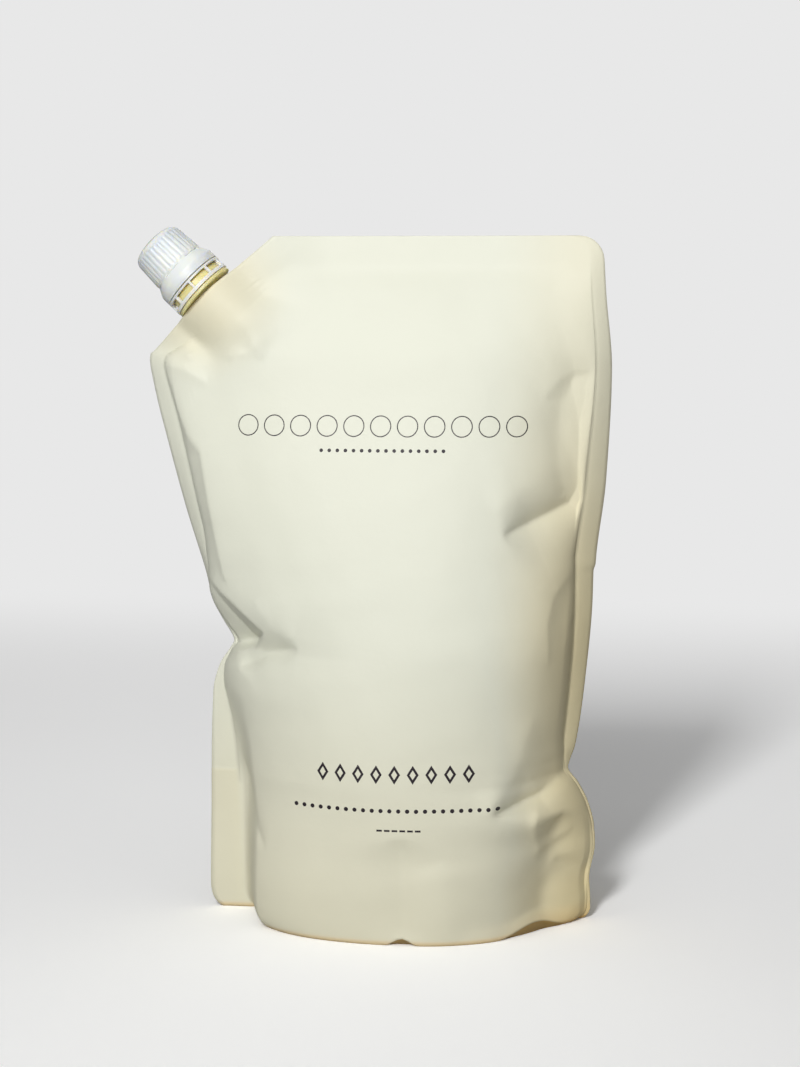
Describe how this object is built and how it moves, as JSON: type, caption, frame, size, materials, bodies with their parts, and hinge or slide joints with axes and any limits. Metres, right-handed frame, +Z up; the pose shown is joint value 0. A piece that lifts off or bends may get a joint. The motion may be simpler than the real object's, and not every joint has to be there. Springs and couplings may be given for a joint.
{
  "type": "hand soap refill pack",
  "caption": "Filled stand-up refill pouch of welded film with a folded base, sealed sides and a leaning corner spout closed by a ribbed screw cap over a tamper band.",
  "frame": {"origin": "middle of the base's flat contact with the table, midway between the front and back films at the side seams' plane", "axes": "+Z up, -Y out of the printed front, the spout leans towards -X"},
  "size_m": [0.1714, 0.0811, 0.2516],
  "materials": {
    "film": "matt laminated film, cream, printed in dark ink",
    "natural_polythene": "moulded polythene, unpigmented and waxy, straw yellow",
    "white_polythene": "moulded polythene, white, satin",
    "foam": "closed-cell foam, off-white"
  },
  "bodies": {
    "pack": {"pouch": "film", "spout": "natural_polythene", "tamper_band": "white_polythene"},
    "liner": {"sealing_liner": "foam"},
    "cap": {"cap": "white_polythene"}
  },
  "joints": [
    {"name": "cap_lift", "type": "slide", "parent": "pack", "child": "liner", "axis": [-0.7254, 0, 0.6884], "range_m": [0, 0.02]},
    {"name": "cap_turn", "type": "hinge", "parent": "liner", "child": "cap", "pos_m": [-0.07281, 0, 0.22843], "axis": [-0.7254, 0, 0.6884], "range_deg": [0, 1440]}
  ],
  "couplings": [
    {"joint": "cap_lift", "follows": "cap_turn", "m_per_rad": 0.00079577}
  ]
}
